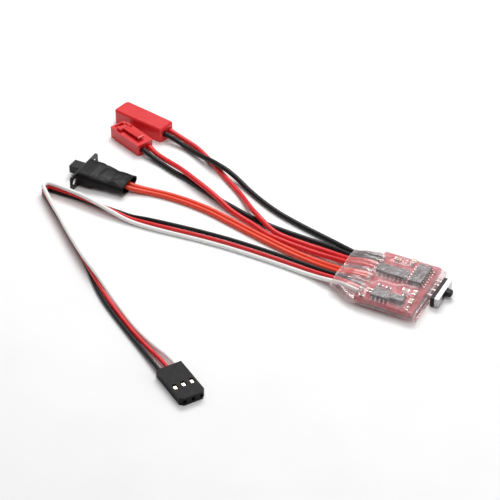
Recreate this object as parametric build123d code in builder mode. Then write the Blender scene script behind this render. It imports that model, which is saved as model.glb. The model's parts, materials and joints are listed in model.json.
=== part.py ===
from build123d import *
import os
from collections import namedtuple
from math import cos, pi, radians, sin

# ---------------------------------------------------------------------------
# Two-way brushed motor speed controller with its leads, laid out on a bench.
# Frame: millimetres, +Z up, everything rests on z = 0.  The origin is the
# centre of the circuit board's footprint, on the resting plane.  +X runs along
# the board away from the leads, so every lead leaves towards -X.
# ---------------------------------------------------------------------------

os.makedirs("parts", exist_ok=True)

# ----- circuit board ---------------------------------------------------------
board_length = 17.6     # along X
board_width = 23.0      # along Y
board_thickness = 1.2
board_bottom = 2.15
board_top = board_bottom + board_thickness
board_corner_r = 0.6
via_d = 0.5
via_spots = [(-6.2, 9.9), (-4.6, 9.9), (-3.0, 9.9), (7.9, 9.6), (7.9, 8.2),
             (0.9, -2.6), (2.4, -2.6), (-6.0, -5.0), (-4.4, -5.0), (8.2, -4.4), (8.2, -6.0)]

# ----- wires: diameters of insulation, its bore, and the bared core ----------
Wire = namedtuple("Wire", "outer bore core")
power_wire = Wire(outer=1.6, bore=0.92, core=0.86)
switch_wire = Wire(outer=1.4, bore=0.78, core=0.72)
servo_wire = Wire(outer=1.14, bore=0.62, core=0.56)

cut_gap = 0.3           # half gap at each lead's bend joint
pad_x = -8.4            # insulation ends here, over the board
tip_x = -7.3            # bared core ends here, inside its solder
wire_clearance = 0.08   # between insulation and board

# Y of each wire on the board
power_pads_y = {("battery", "black"): 7.8, ("motor", "black"): 5.9,
                ("battery", "red"): 3.9, ("motor", "red"): 1.9}
switch_pads_y = (-1.3, -2.9)
servo_pads_y = {"black": -6.4, "red": -7.9, "white": -9.4}

# ----- plugs -----------------------------------------------------------------
lift = 0.04             # plugs stand this far off the resting plane
plug_pitch = 2.5        # battery and motor plugs
plug_bore = 2.0
servo_plug_pitch = 2.54


def pad_height(wire):
    """Centre height of a wire lying over the board."""
    return board_top + wire.outer / 2 + wire_clearance


def save(piece, label):
    piece.label = label
    export_step(piece, f"parts/{label}.step")


def gathered(pieces):
    """Several bodies as one part."""
    with BuildPart() as group:
        for piece in pieces:
            add(piece)
    return group.part


def placed(piece, places):
    """One part made of a copy of the piece at each location."""
    with BuildPart() as group:
        with Locations(*places):
            add(piece)
    return group.part


def open_sleeve(stations, wall):
    """Straight-sided sleeve along X, open at both ends, through three stations
    (x, width, height, centre y, centre z, corner radius)."""
    envelopes = []
    for inset, overrun in ((0.0, 0.0), (wall, 0.02)):   # outside, then the hollow
        with BuildPart() as envelope:
            for station, shift in zip(stations, (-overrun, 0.0, overrun)):
                x, width, height, y, z, corner_r = station
                with BuildSketch(Plane(origin=(x + shift, y, z),
                                       x_dir=(0, 1, 0), z_dir=(1, 0, 0))):
                    RectangleRounded(width - 2 * inset, height - 2 * inset, corner_r - inset)
            loft(ruled=True)
        envelopes.append(envelope.part)
    with BuildPart() as sleeve:
        add(envelopes[0])
        add(envelopes[1], mode=Mode.SUBTRACT)
    return sleeve.part


class Plug:
    """A plug lying flat.  Its local x runs from the wire end to the mating end,
    local y to the left of that, z up.  The origin is the wire end's centre."""

    def __init__(self, origin, turn, length, width, height):
        angle = radians(turn)
        self.origin = origin
        self.length, self.width, self.height = length, width, height
        self.heading = (cos(angle), sin(angle), 0.0)
        self.across = (-sin(angle), cos(angle), 0.0)
        self.plane = Plane(origin=(*origin, lift), x_dir=self.heading, z_dir=(0, 0, 1))
        self.axis = Axis((*origin, 0), self.heading)

    def section(self, along, side=0):
        """Mid-height plane facing the mating end, with its x to the left and y up."""
        return Plane(origin=self.plane.from_local_coords((along, side, self.height / 2)),
                     x_dir=self.across, z_dir=self.heading)

    def wire_exit(self, side):
        """Point on the wire-end face at mid height."""
        return (self.origin[0] + self.across[0] * side,
                self.origin[1] + self.across[1] * side,
                lift + self.height / 2)


battery_plug = Plug(origin=(-96.5, 38.2), turn=169.0, length=19.6, width=6.8, height=4.9)
motor_plug = Plug(origin=(-98.6, 28.0), turn=158.0, length=14.4, width=6.0, height=3.9)
servo_plug = Plug(origin=(-41.3, -60.6), turn=-33.0, length=14.0, width=7.62, height=2.54)


# ===========================================================================
# circuit board and its components
# ===========================================================================
def circuit_board():
    with BuildPart() as board:
        with BuildSketch(Plane.XY.offset(board_bottom)):
            RectangleRounded(board_length, board_width, board_corner_r)
            with Locations(*via_spots):
                Circle(via_d / 2, mode=Mode.SUBTRACT)
        extrude(amount=board_thickness)
    return board.part


# ----- small-outline packages ------------------------------------------------
package_w = 3.9         # body width across the leads
package_h = 1.45        # body height
package_standoff = 0.15
package_bevel = 0.16
mark_r, mark_depth = 0.35, 0.12     # round mark on top; the cutter is centred on the surface
mark_inset = (0.75, 0.95)           # from the body's end and side
lead_pitch = 1.27
lead_w = 0.42
lead_t = 0.2
lead_span = 6.0         # lead tip to lead tip
lead_root_z = 0.75      # underside of the lead where it leaves the body
body_length_8 = 4.9
body_length_14 = 8.65

# the controller's long axis lies along Y, the driver's and upper MOSFET's along X
mcu_at = Location((4.8, 4.9, board_top), (0, 0, 90))
driver_at = Location((-2.65, 2.7, board_top))
# one MOSFET on top, two under the board with their long axes along Y
mosfets_at = [Location((-1.8, -8.2, board_top))]
mosfets_at += [Location((-4.2, y, board_bottom), (180, 0, 0)) * Location((0, 0, 0), (0, 0, 90))
               for y in (6.0, -4.6)]


def package_body(length):
    """A package body centred on the origin, long axis along X, above z = 0."""
    with BuildPart() as body:
        with BuildSketch(Plane.XY.offset(package_standoff)):
            Rectangle(length, package_w)
        extrude(amount=package_h)
        chamfer(body.edges().group_by(Axis.Z)[-1], package_bevel)
        with Locations((-length / 2 + mark_inset[0], -package_w / 2 + mark_inset[1],
                        package_standoff + package_h)):
            Cylinder(mark_r, mark_depth, mode=Mode.SUBTRACT)
    return body.part


def package_lead():
    """One gull-wing lead on the package's +Y side, its foot on z = 0."""
    side = package_w / 2
    with BuildPart() as lead:
        with BuildSketch(Plane.YZ.offset(-lead_w / 2)):
            with BuildLine():
                Polyline((side, lead_root_z + lead_t), (side + 0.28, lead_root_z + lead_t),
                         (side + 0.48, lead_t), (lead_span / 2, lead_t),
                         (lead_span / 2, 0), (side + 0.34, 0), (side + 0.14, lead_root_z),
                         (side, lead_root_z), close=True)
            make_face()
        extrude(amount=lead_w)
    return lead.part


def package_leads(packages, per_side):
    """All leads of the packages at the given locations."""
    spots = [Location(((i - (per_side - 1) / 2) * lead_pitch, 0, 0), (0, 0, side))
             for side in (0, 180) for i in range(per_side)]
    return placed(package_lead(), [package * spot for package in packages for spot in spots])


def microcontroller():
    return placed(package_body(body_length_14), [mcu_at])


def microcontroller_leads():
    return package_leads([mcu_at], 7)


def bridge_driver():
    return placed(package_body(body_length_14), [driver_at])


def bridge_driver_leads():
    return package_leads([driver_at], 7)


def power_mosfets():
    return placed(package_body(body_length_8), mosfets_at)


def power_mosfet_leads():
    return package_leads(mosfets_at, 4)


# ----- receiver-supply regulator: three leads on -Y, tab on +Y ---------------
regulator_x, regulator_y = 3.2, -8.1
regulator_l, regulator_w, regulator_h = 4.0, 2.5, 1.5
regulator_bevel = 0.15
regulator_metal_t = 0.12
regulator_lead_pitch = 1.5
regulator_lead_size = (0.45, 1.0)
regulator_tab_size = (1.8, 0.9)


def supply_regulator():
    with BuildPart() as body:
        with BuildSketch(Plane.XY.offset(board_top + regulator_metal_t)):
            with Locations((regulator_x, regulator_y)):
                Rectangle(regulator_l, regulator_w)
        extrude(amount=regulator_h)
        chamfer(body.edges().group_by(Axis.Z)[-1], regulator_bevel)
    return body.part


def supply_regulator_leads():
    with BuildPart() as leads:
        with BuildSketch(Plane.XY.offset(board_top)):
            for i in (-1, 0, 1):
                with Locations((regulator_x + i * regulator_lead_pitch,
                                regulator_y - regulator_w / 2 - 0.2)):
                    Rectangle(*regulator_lead_size)
            with Locations((regulator_x, regulator_y + regulator_w / 2 + 0.1)):
                Rectangle(*regulator_tab_size)
        extrude(amount=regulator_metal_t)
    return leads.part


# ----- chip capacitors and resistors -----------------------------------------
# x, y, length, width, height, long axis along Y
capacitors = [(-3.9, 9.0, 2.0, 1.25, 1.0, False), (6.6, -3.4, 2.0, 1.25, 1.1, True),
              (3.8, -3.2, 2.0, 1.25, 1.0, False), (-5.9, -7.8, 1.6, 0.8, 0.8, True),
              (-1.2, 8.9, 1.6, 0.8, 0.8, True), (7.0, -7.2, 2.0, 1.25, 1.0, True)]
resistors = [(-5.0, -7.5, 1.6, 0.8, 0.5, True), (-6.6, -10.6, 1.6, 0.8, 0.5, False),
             (-3.6, -4.0, 1.6, 0.8, 0.5, False), (-1.2, -4.0, 1.6, 0.8, 0.5, False),
             (4.4, -5.2, 1.6, 0.8, 0.5, False), (7.2, -10.2, 1.6, 0.8, 0.5, True),
             (0.6, 8.9, 1.6, 0.8, 0.5, True)]
chip_band = 0.32        # length of each metal end
chip_recess = 0.02      # body below the metal at top and bottom
chip_side_recess = 0.03


def chip_body(x, y, length, width, height, along_y):
    with BuildPart() as body:
        with BuildSketch(Plane.XY.offset(board_top + chip_recess)):
            with Locations((x, y)):
                with Locations(Location((0, 0, 0), (0, 0, 90 if along_y else 0))):
                    Rectangle(length - 2 * chip_band, width - 2 * chip_side_recess)
        extrude(amount=height - 2 * chip_recess)
    return body.part


def chip_ends(x, y, length, width, height, along_y):
    end = length / 2 - chip_band / 2
    with BuildPart() as ends:
        with BuildSketch(Plane.XY.offset(board_top)):
            with Locations((x, y)):
                with Locations(Location((0, 0, 0), (0, 0, 90 if along_y else 0))):
                    with Locations((-end, 0), (end, 0)):
                        Rectangle(chip_band, width)
        extrude(amount=height)
    return ends.part


def chip_capacitors():
    return gathered(chip_body(*chip) for chip in capacitors)


def chip_resistors():
    return gathered(chip_body(*chip) for chip in resistors)


def chip_terminations():
    return gathered(chip_ends(*chip) for chip in capacitors + resistors)


# ----- status light: a stepped chip near the middle of the +Y edge -----------
led_spot = (0.5, 10.7)
led_base_l, led_top_l, led_w = 1.6, 1.0, 0.8
led_step_h = 0.35


def status_led():
    with BuildPart() as led:
        with BuildSketch(Plane.XY.offset(board_top)):
            with Locations(led_spot):
                Rectangle(led_base_l, led_w)
        extrude(amount=led_step_h)
        with BuildSketch(Plane.XY.offset(board_top + led_step_h)):
            with Locations(led_spot):
                Rectangle(led_top_l, led_w)
        extrude(amount=led_step_h)
    return led.part


# ===========================================================================
# clear heat-shrink tube: a flattened sleeve over the board, open at both ends
# ===========================================================================
film_t = 0.3
tube_w, tube_h, tube_corner_r = 24.2, 5.7, 2.2
# x, width, height, centre y, centre z, corner radius
tube_stations = [(-17.0, 18.2, 3.1, 0, 2.6, 1.2),       # narrowed mouth around the leads
                 (-9.4, tube_w, tube_h, 0, tube_h / 2, tube_corner_r),
                 (10.0, tube_w, tube_h, 0, tube_h / 2, tube_corner_r)]


def heat_shrink_tube():
    return open_sleeve(tube_stations, film_t)


# ===========================================================================
# power slide switch, facing -X: plate, shell, base, slider, contact, terminals
# ===========================================================================
switch_x = -109.0       # outer (-X) face of the mounting plate
switch_y, switch_z = 7.4, 2.5
plate_l, plate_h, plate_t = 16.0, 4.8, 0.5
plate_corner_r = 1.0
plate_hole_pitch, plate_hole_d = 12.0, 2.2
plate_back = switch_x + plate_t
shell_l, shell_h, shell_depth, shell_t = 9.0, 4.4, 4.2, 0.3
shell_r = 0.75
shell_inner_l = shell_l - 2 * shell_t
shell_inner_h = shell_h - 2 * shell_t
shell_inner_r = shell_r - shell_t
shell_back = plate_back + shell_depth

slider_travel = 2.0
knob_y = switch_y + slider_travel / 2       # at the +Y end of its travel
knob_l, knob_h, knob_out = 3.6, 2.6, 4.6
knob_clearance = 0.3
slider_l, slider_t = 6.0, 1.3
slide_gap = 0.06
grip_pitch, grip_w, grip_cut = 1.1, 0.4, 0.5
slider_back = plate_back + slide_gap + slider_t

switch_base_t = 1.2
base_fit = 0.04
terminal_pitch = 2.5
terminal_w, terminal_t = 1.2, 0.4
terminal_slack = 0.04   # extra size of the slots in the base
terminal_in, terminal_out = 0.35, 3.2       # reach past each face of the base
wired_terminals_y = (switch_y, switch_y + terminal_pitch)

switch_skin_x = -99.9   # wire insulation starts here
switch_core_reach = 3.0     # bared core lying on each terminal
# bared cores lie on the terminals
switch_core_z = switch_z + terminal_t / 2 + switch_wire.core / 2 + 0.02


def switch_bracket():
    with BuildPart() as bracket:
        with BuildSketch(Plane.YZ.offset(switch_x)):
            with Locations((switch_y, switch_z)):
                RectangleRounded(plate_l, plate_h, plate_corner_r)
                with GridLocations(plate_hole_pitch, 0, 2, 1):
                    Circle(plate_hole_d / 2, mode=Mode.SUBTRACT)
                Rectangle(knob_l + slider_travel + knob_clearance, knob_h + knob_clearance,
                          mode=Mode.SUBTRACT)
        extrude(amount=plate_t)
        with BuildSketch(Plane.YZ.offset(plate_back)):
            with Locations((switch_y, switch_z)):
                RectangleRounded(shell_l, shell_h, shell_r)
                RectangleRounded(shell_inner_l, shell_inner_h, shell_inner_r,
                                 mode=Mode.SUBTRACT)
        extrude(amount=shell_depth)
    return bracket.part


def switch_base():
    with BuildPart() as base:
        with BuildSketch(Plane.YZ.offset(shell_back - switch_base_t)):
            with Locations((switch_y, switch_z)):
                RectangleRounded(shell_inner_l - base_fit, shell_inner_h - base_fit,
                                 shell_inner_r)
                for i in (-1, 0, 1):
                    with Locations((i * terminal_pitch, 0)):
                        Rectangle(terminal_w + terminal_slack, terminal_t + terminal_slack,
                                  mode=Mode.SUBTRACT)
        extrude(amount=switch_base_t)
    return base.part


def switch_terminals():
    with BuildPart() as terminals:
        for i in (-1, 0, 1):
            with BuildSketch(Plane.YZ.offset(shell_back - switch_base_t - terminal_in)):
                with Locations((switch_y + i * terminal_pitch, switch_z)):
                    Rectangle(terminal_w, terminal_t)
            extrude(amount=switch_base_t + terminal_in + terminal_out)
    return terminals.part


def switch_slider():
    with BuildPart() as slider:
        with BuildSketch(Plane.YZ.offset(plate_back + slide_gap)):
            with Locations((knob_y, switch_z)):
                Rectangle(slider_l, shell_inner_h - 0.3)
        extrude(amount=slider_t)
        with BuildSketch(Plane.YZ.offset(plate_back + slide_gap)):
            with Locations((knob_y, switch_z)):
                Rectangle(knob_l, knob_h)
        extrude(amount=-(plate_t + slide_gap + knob_out))
        # three grip grooves across the knob's end
        with Locations(*[(switch_x - knob_out, knob_y + i * grip_pitch, switch_z)
                         for i in (-1, 0, 1)]):
            Box(grip_cut, grip_w, knob_h + 0.2, mode=Mode.SUBTRACT)
    return slider.part


def switch_contact():
    """Bridging clip carried by the slider: a plate with two ribs."""
    plate_thickness = 0.2
    with BuildPart() as contact:
        with BuildSketch(Plane.YZ.offset(slider_back)):
            with Locations((knob_y, switch_z)):
                Rectangle(4.2, 2.4)
        extrude(amount=plate_thickness)
        with BuildSketch(Plane.YZ.offset(slider_back + plate_thickness)):
            with Locations((knob_y, switch_z)):
                with Locations((0, 1.0), (0, -1.0)):
                    Rectangle(3.2, 0.25)
        extrude(amount=0.85)
    return contact.part


def switch_solder():
    """Solder on the two wired terminals, around each bared core."""
    solder_r, solder_l, solder_rise = 0.68, 1.75, 0.45
    with BuildPart() as solder:
        for y in wired_terminals_y:
            with BuildSketch(Plane.YZ.offset(switch_skin_x - switch_core_reach - 0.15)):
                with Locations((y, switch_z + solder_rise)):
                    Circle(solder_r)
            extrude(amount=solder_l)
        add(switch_terminals(), mode=Mode.SUBTRACT)
        for y in wired_terminals_y:
            with BuildSketch(Plane.YZ.offset(switch_skin_x)):
                with Locations((y, switch_core_z)):
                    Circle(switch_wire.core / 2)
            extrude(amount=-switch_core_reach, mode=Mode.SUBTRACT)
    return solder.part


# black heat-shrink sleeve over the switch body and the wire ends
sleeve_t = 0.25
sleeve_l, sleeve_h = shell_l + 0.6, shell_h + 0.6
# x, width, height, centre y, centre z, corner radius
sleeve_stations = [(plate_back + 0.15, sleeve_l, sleeve_h, switch_y, switch_z, 0.9),
                   (shell_back + 0.4, sleeve_l, sleeve_h, switch_y, switch_z, 0.9),
                   (-92.9, 9.0, 3.9, switch_y + 0.55, 2.2, 1.2)]


def switch_sleeve():
    return open_sleeve(sleeve_stations, sleeve_t)


# ===========================================================================
# brake selector: side-acting slide switch at the board's +X end
# ===========================================================================
selector_x = 10.9       # -X face of the base
selector_y, selector_z = 2.9, 1.8
selector_l, selector_h = 10.4, 2.9
selector_base_t = 1.2
selector_shell_l = selector_l - 0.3
selector_shell_d, selector_shell_t = 1.3, 0.25
selector_window = (4.3, 1.9)
selector_pitch = 2.5
selector_base_end = selector_x + selector_base_t
selector_front = selector_base_end + selector_shell_d     # +X face of the shell
selector_roof = selector_front - selector_shell_t         # inside of that face
actuator_y = selector_y + 1.0       # at the +Y end of its travel
actuator_out = 1.8
clip_y = selector_y + 1.2
clip_gap, clip_t, clip_h = 0.06, 0.12, 1.2
pin_start_x = 6.6       # pins' ends, under the board
pin_w, pin_t = 0.6, 0.27


def selector_base():
    with BuildPart() as base:
        with BuildSketch(Plane.YZ.offset(selector_x)):
            with Locations((selector_y, selector_z)):
                Rectangle(selector_l, selector_h)
                for i in (-1, 0, 1):
                    with Locations((i * selector_pitch, 0.22)):
                        Rectangle(0.66, 0.36, mode=Mode.SUBTRACT)    # pin slot
        extrude(amount=selector_base_t)
    return base.part


def selector_shell():
    with BuildPart() as shell:
        # starts a hair off the base
        with BuildSketch(Plane.YZ.offset(selector_base_end + 0.001)):
            with Locations((selector_y, selector_z)):
                Rectangle(selector_shell_l, selector_h)
        extrude(amount=selector_shell_d)
        with BuildSketch(Plane.YZ.offset(selector_base_end)):
            with Locations((selector_y, selector_z)):
                Rectangle(selector_shell_l - 2 * selector_shell_t,
                          selector_h - 2 * selector_shell_t)
        extrude(amount=selector_shell_d - selector_shell_t, mode=Mode.SUBTRACT)
        with BuildSketch(Plane.YZ.offset(selector_roof - 0.1)):
            with Locations((selector_y, selector_z)):
                Rectangle(*selector_window)
        extrude(amount=1.0, mode=Mode.SUBTRACT)
    return shell.part


def selector_actuator():
    """Flat slide inside the shell with a tapered stub through its window."""
    with BuildPart() as actuator:
        with BuildSketch(Plane.YZ.offset(selector_roof - 0.55)):
            with Locations((actuator_y, selector_z)):
                Rectangle(5.2, 2.2)
        extrude(amount=0.5)
        with BuildSketch(Plane.YZ.offset(selector_roof - 0.1)):
            with Locations((actuator_y, selector_z)):
                Rectangle(2.1, 1.75)
        with BuildSketch(Plane.YZ.offset(selector_front + actuator_out)):
            with Locations((actuator_y, selector_z)):
                Rectangle(1.55, 1.45)
        loft()
        fillet(actuator.edges().group_by(Axis.X)[-1], 0.4)
    return actuator.part


def selector_contact():
    """Sliding clip that bridges two of the three pins."""
    with BuildPart() as clip:
        with BuildSketch(Plane.YZ.offset(selector_base_end + clip_gap)):
            with Locations((clip_y, selector_z)):
                Rectangle(3.9, clip_h)
        extrude(amount=clip_t)
        with BuildSketch(Plane.YZ.offset(selector_base_end + clip_gap + clip_t)):
            with Locations((clip_y - 1.6, selector_z), (clip_y + 1.6, selector_z)):
                Rectangle(0.5, clip_h)
        extrude(amount=0.24)
    return clip.part


def selector_pins():
    """Pins running from the base back under the board."""
    with BuildPart() as pins:
        with BuildSketch(Plane.XY.offset(board_bottom - pin_t)):
            with Locations(*[((selector_base_end + pin_start_x) / 2,
                              selector_y + i * selector_pitch) for i in (-1, 0, 1)]):
                Rectangle(selector_base_end - pin_start_x, pin_w)
        extrude(amount=pin_t)
    return pins.part


# ===========================================================================
# battery and motor plugs
# ===========================================================================
shroud_depth = 8.2      # open shroud at the battery plug's mating end
shroud_wall = 0.75
battery_rear_w = 6.4    # slimmer at the wires
plug_sides = (-plug_pitch / 2, plug_pitch / 2)

crimp_start = 2.1       # from the wire end
crimp_barrel_l, crimp_neck_l = 2.6, 1.2
crimp_barrel_d = plug_bore - 0.1
crimp_bore_d = power_wire.core + 0.06
crimp_end = crimp_start + crimp_barrel_l + crimp_neck_l
battery_pin_d, battery_pin_l = 1.1, 11.7
motor_socket_d, motor_socket_l = plug_bore - 0.2, 8.0
motor_socket_bore_r, motor_socket_bore_l = 0.58, 6.5


def crimp(plug, side, pin_d, pin_length):
    """A crimp contact: barrel around the core, solid neck, then a round pin."""
    with BuildPart() as contact:
        with BuildSketch(plug.section(crimp_start, side)):
            Circle(crimp_barrel_d / 2)
            Circle(crimp_bore_d / 2, mode=Mode.SUBTRACT)
        extrude(amount=crimp_barrel_l)
        with BuildSketch(plug.section(crimp_start + crimp_barrel_l, side)):
            Circle(crimp_barrel_d / 2)
        extrude(amount=crimp_neck_l)
        with BuildSketch(plug.section(crimp_end, side)):
            Circle(pin_d / 2)
        extrude(amount=pin_length)
        tip = contact.faces().sort_by(Axis(contact.part.center(), plug.heading))[-1]
        chamfer(tip.edges(), 0.15)
    return contact.part


def battery_plug_housing():
    """Two-way housing, tapered to the wire end, with an open shroud."""
    plug = battery_plug
    shroud_x = plug.length - shroud_depth
    with BuildPart() as housing:
        with BuildSketch(plug.plane):
            with BuildLine():
                Polyline((0, battery_rear_w / 2), (shroud_x, plug.width / 2),
                         (plug.length, plug.width / 2), (plug.length, -plug.width / 2),
                         (shroud_x, -plug.width / 2), (0, -battery_rear_w / 2), close=True)
            make_face()
        extrude(amount=plug.height)
        uprights = housing.edges().filter_by(Axis.Z).sort_by(plug.axis)
        fillet(uprights[-2:], 1.4)
        fillet(uprights[:2], 0.9)
        chamfer(housing.edges().group_by(Axis.Z)[-1], 0.45)
        # open shroud
        with BuildSketch(plug.section(plug.length)):
            RectangleRounded(plug.width - 2 * shroud_wall, plug.height - 2 * shroud_wall, 0.6)
        extrude(amount=-shroud_depth, mode=Mode.SUBTRACT)
        # contact bores from the wire end
        with BuildSketch(plug.section(0)):
            with Locations(*[(side, 0) for side in plug_sides]):
                Circle(plug_bore / 2)
        extrude(amount=shroud_x + 0.1, mode=Mode.SUBTRACT)
        # latch window in the shroud's underside
        with BuildSketch(plug.plane):
            with Locations((plug.length - 3.4, 0)):
                Rectangle(2.2, 2.6)
        extrude(amount=0.9, mode=Mode.SUBTRACT)
    return housing.part


def battery_plug_contacts():
    return gathered(crimp(battery_plug, side, battery_pin_d, battery_pin_l)
                    for side in plug_sides)


latch_x = motor_plug.length - 3.6       # latch root, from the wire end
latch_z = motor_plug.height + 0.25      # its axis, above the plug's underside
latch_r = 0.55
latch_root_w, latch_arm_w = 2.4, 2.2
latch_seat_w = 2.56
latch_seat_clearance = 0.05
# latch arm: x from the root towards the mating end, z from the root's axis
latch_arm = [(0.1, 0), (0.1, 0.45), (-1.0, 0.72), (-4.6, 0.92), (-8.4, 1.12), (-8.8, 1.0),
             (-8.8, 0.55), (-1.4, 0.3), (-0.35, -0.05)]


def latch_section(side, z=latch_z):
    """Plane across the latch root, facing the plug's left, with its y down."""
    return Plane(origin=motor_plug.plane.from_local_coords((latch_x, side, z)),
                 x_dir=motor_plug.heading, z_dir=motor_plug.across)


def motor_plug_housing():
    """Two-way socket housing."""
    plug = motor_plug
    top = plug.plane.offset(plug.height)
    nose_y = plug.width / 2 - 0.15
    with BuildPart() as housing:
        with BuildSketch(plug.plane):
            with Locations((plug.length / 2, 0)):
                Rectangle(plug.length, plug.width)
        extrude(amount=plug.height)
        fillet(housing.edges().filter_by(Axis.Z), 0.45)
        # slimmer nose that enters the mating shroud
        with BuildSketch(plug.plane):
            with Locations((plug.length - 1.2, nose_y), (plug.length - 1.2, -nose_y)):
                Rectangle(2.5, 0.35)
        extrude(amount=plug.height, mode=Mode.SUBTRACT)
        # contact bores
        with BuildSketch(plug.section(0)):
            with Locations(*[(side, 0) for side in plug_sides]):
                Circle(plug_bore / 2)
        extrude(amount=plug.length + 0.1, mode=Mode.SUBTRACT)
        # pocket in the top at the mating end
        with BuildSketch(top):
            with Locations((plug.length - 1.2, 0)):
                Rectangle(1.3, 3.2)
        extrude(amount=-0.8, mode=Mode.SUBTRACT)
        # two ears that carry the latch root, with a round seat between them
        with BuildSketch(top):
            with Locations((latch_x, 1.75), (latch_x, -1.75)):
                Rectangle(2.2, 0.9)
        extrude(amount=1.0)
        with BuildSketch(latch_section(-latch_seat_w / 2)):
            Circle(latch_r + latch_seat_clearance)
        extrude(amount=latch_seat_w, mode=Mode.SUBTRACT)
    return housing.part


def motor_plug_latch():
    """Round root with an arm running back towards the wires."""
    plug = motor_plug
    with BuildPart() as latch:
        with BuildSketch(latch_section(-latch_root_w / 2)):
            Circle(latch_r)
        extrude(amount=latch_root_w)
        arm_origin = plug.plane.from_local_coords((latch_x, -latch_arm_w / 2, 0))
        with BuildSketch(Plane(origin=arm_origin, x_dir=plug.heading,
                               z_dir=tuple(-c for c in plug.across))):
            with BuildLine():
                Polyline(*[(x, latch_z + z) for x, z in latch_arm], close=True)
            make_face()
        extrude(amount=-latch_arm_w)
    return latch.part


def motor_plug_contacts():
    with BuildPart() as contacts:
        for side in plug_sides:
            add(crimp(motor_plug, side, motor_socket_d, motor_socket_l))
        # socket bores for the mating pins
        for side in plug_sides:
            with BuildSketch(motor_plug.section(crimp_end + motor_socket_l, side)):
                Circle(motor_socket_bore_r)
            extrude(amount=-motor_socket_bore_l, mode=Mode.SUBTRACT)
    return contacts.part


# ===========================================================================
# receiver plug: three-way flat socket housing
# ===========================================================================
servo_end_wall = 1.2        # at the mating end
servo_cavity = 1.86
servo_entry = 1.0           # square pin holes through the end wall
servo_window = (1.9, 1.2)
servo_window_x, servo_window_depth = 8.5, 0.5
servo_barrel_start, servo_barrel_l, servo_barrel_r = 2.1, 2.4, 0.55
servo_box_start = servo_barrel_start + servo_barrel_l
servo_box, servo_box_bore, servo_box_bore_l = 1.66, 0.72, 6.6
servo_box_l = servo_plug.length - servo_end_wall - servo_box_start - 0.1
servo_sides = (-servo_plug_pitch, 0, servo_plug_pitch)


def servo_plug_housing():
    plug = servo_plug
    with BuildPart() as housing:
        with BuildSketch(plug.plane):
            with Locations((plug.length / 2, 0)):
                Rectangle(plug.length, plug.width)
        extrude(amount=plug.height)
        # bevelled upright corners at the mating end keep the plug the right way round
        chamfer(housing.edges().filter_by(Axis.Z).sort_by(plug.axis)[-2:], 1.0)
        with BuildSketch(plug.section(0)):
            with Locations(*[(side, 0) for side in servo_sides]):
                Rectangle(servo_cavity, servo_cavity)
        extrude(amount=plug.length - servo_end_wall, mode=Mode.SUBTRACT)
        with BuildSketch(plug.section(0)):
            with Locations(*[(side, 0) for side in servo_sides]):
                Rectangle(servo_entry, servo_entry)
        extrude(amount=plug.length + 0.1, mode=Mode.SUBTRACT)
        # windows in the top face
        with BuildSketch(plug.plane.offset(plug.height)):
            with Locations(*[(servo_window_x, side) for side in servo_sides]):
                Rectangle(*servo_window)
        extrude(amount=-servo_window_depth, mode=Mode.SUBTRACT)
    return housing.part


def servo_plug_contacts():
    """Crimp barrels, each with a square socket box."""
    plug = servo_plug
    with BuildPart() as contacts:
        for side in servo_sides:
            with BuildSketch(plug.section(servo_barrel_start, side)):
                Circle(servo_barrel_r)
                Circle(servo_wire.core / 2 + 0.03, mode=Mode.SUBTRACT)
            extrude(amount=servo_barrel_l)
            with BuildSketch(plug.section(servo_box_start, side)):
                Rectangle(servo_box, servo_box)
            extrude(amount=servo_box_l)
        for side in servo_sides:
            with BuildSketch(plug.section(servo_box_start + servo_box_l, side)):
                Rectangle(servo_box_bore, servo_box_bore)
            extrude(amount=-servo_box_bore_l, mode=Mode.SUBTRACT)
    return contacts.part


# ===========================================================================
# paths: lists of points
# ===========================================================================
curve_steps = 14        # dense points per station


def smooth(points):
    """Dense Catmull-Rom curve through points of any dimension."""
    padded = [points[0]] + list(points) + [points[-1]]
    dense = []
    for before, start, end, after in zip(padded, padded[1:], padded[2:], padded[3:]):
        for k in range(curve_steps):
            t = k / curve_steps
            dense.append(tuple(
                0.5 * (2 * b + (c - a) * t + (2 * a - 5 * b + 4 * c - d) * t * t
                       + (3 * b - a - 3 * c + d) * t ** 3)
                for a, b, c, d in zip(before, start, end, after)))
    dense.append(tuple(points[-1]))
    return dense


def distance(start, end):
    return sum((start[i] - end[i]) ** 2 for i in range(3)) ** 0.5


def path_length(path):
    return sum(distance(start, end) for start, end in zip(path, path[1:]))


def stretch(path, from_length, to_length):
    """The part of a path between two lengths measured from its start."""
    out, run = [], 0.0
    for start, end in zip(path, path[1:]):
        step = distance(start, end)
        for mark in (from_length, to_length):
            if run <= mark < run + step:
                part = (mark - run) / step
                out.append(tuple(start[i] + part * (end[i] - start[i]) for i in range(3)))
        run += step
        if from_length < run < to_length:
            out.append(end)
    if to_length >= run - 1e-9 and distance(out[-1], path[-1]) > 1e-6:
        out.append(path[-1])
    return out


def coarse(path, longest, sharpest):
    """Thins a dense path to the few points a bent round wire needs."""
    out, run, turned = [path[0]], 0.0, 0.0
    for i in range(1, len(path) - 1):
        before, here, after = (Vector(*path[j]) for j in (i - 1, i, i + 1))
        run += (here - before).length
        turned += (here - before).get_angle(after - here)
        if (run > 0.7 and run / longest + turned / sharpest >= 1
                and distance(path[i], path[-1]) > 0.9):
            out.append(path[i])
            run, turned = 0.0, 0.0
    out.append(path[-1])
    return out


def tidy(path, gap=1.3):
    """Drops inner points that stand too close to either end of a path."""
    out = list(path)
    while len(out) > 2 and distance(out[0], out[1]) < gap:
        del out[1]
    while len(out) > 2 and distance(out[-1], out[-2]) < gap:
        del out[-2]
    return out


def straightened(path, least=0.9):
    """Drops the inner points at which a path bends by less than some degrees."""
    out = list(path)
    while len(out) > 2:
        bends = [(Vector(*here) - Vector(*before)).get_angle(Vector(*after) - Vector(*here))
                 for before, here, after in zip(out, out[1:], out[2:])]
        slightest = min(bends)
        if slightest >= least:
            break
        del out[bends.index(slightest) + 1]
    return out


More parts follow.
